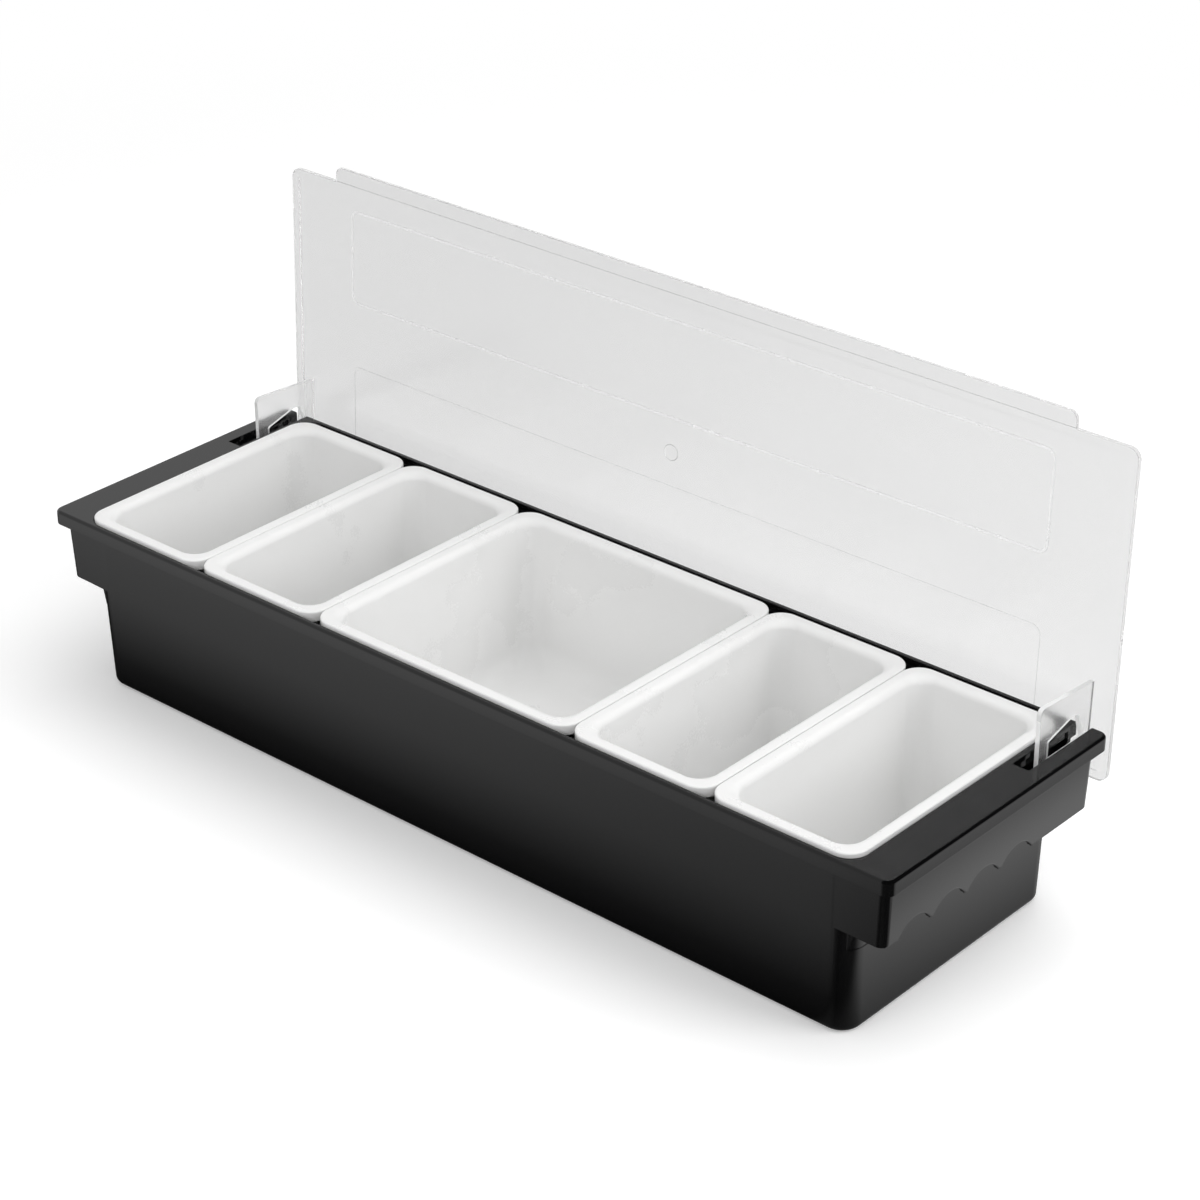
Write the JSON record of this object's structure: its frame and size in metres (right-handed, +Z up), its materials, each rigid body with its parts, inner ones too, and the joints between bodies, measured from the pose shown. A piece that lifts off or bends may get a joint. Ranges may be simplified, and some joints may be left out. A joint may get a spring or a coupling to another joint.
{
  "type": "condiment caddy",
  "caption": "Bar-top condiment caddy: black tray with hollow end handles, white lift-out pans over an ice space and one clear lid hinged along the back.",
  "frame": {"origin": "centre of the tray's flat underside, on the table", "axes": "+X along the row of pans, +Y towards the hinged back, +Z up"},
  "size_m": [0.495, 0.1651, 0.2203],
  "materials": {
    "tray_black": "moulded black plastic, glossy",
    "pan_white": "moulded white plastic, soft gloss",
    "lid_clear": "clear moulded plastic, polished"
  },
  "bodies": {
    "tray": {"tray": "tray_black"},
    "lid": {"lid": "lid_clear"},
    "small_pan_far_left": {"small_pan_far_left": "pan_white"},
    "small_pan_left": {"small_pan_left": "pan_white"},
    "large_pan": {"large_pan": "pan_white"},
    "small_pan_right": {"small_pan_right": "pan_white"},
    "small_pan_far_right": {"small_pan_far_right": "pan_white"}
  },
  "joints": [
    {"name": "lid_hinge", "type": "hinge", "parent": "tray", "child": "lid", "pos_m": [0, 0.0669, 0.076], "axis": [1, 0, 0], "range_deg": [0, 92.6]},
    {"name": "small_pan_far_left_lift", "type": "slide", "parent": "tray", "child": "small_pan_far_left", "axis": [0, 0, 1], "range_m": [0, 0.1]},
    {"name": "small_pan_left_lift", "type": "slide", "parent": "tray", "child": "small_pan_left", "axis": [0, 0, 1], "range_m": [0, 0.1]},
    {"name": "large_pan_lift", "type": "slide", "parent": "tray", "child": "large_pan", "axis": [0, 0, 1], "range_m": [0, 0.1]},
    {"name": "small_pan_right_lift", "type": "slide", "parent": "tray", "child": "small_pan_right", "axis": [0, 0, 1], "range_m": [0, 0.1]},
    {"name": "small_pan_far_right_lift", "type": "slide", "parent": "tray", "child": "small_pan_far_right", "axis": [0, 0, 1], "range_m": [0, 0.1]}
  ]
}
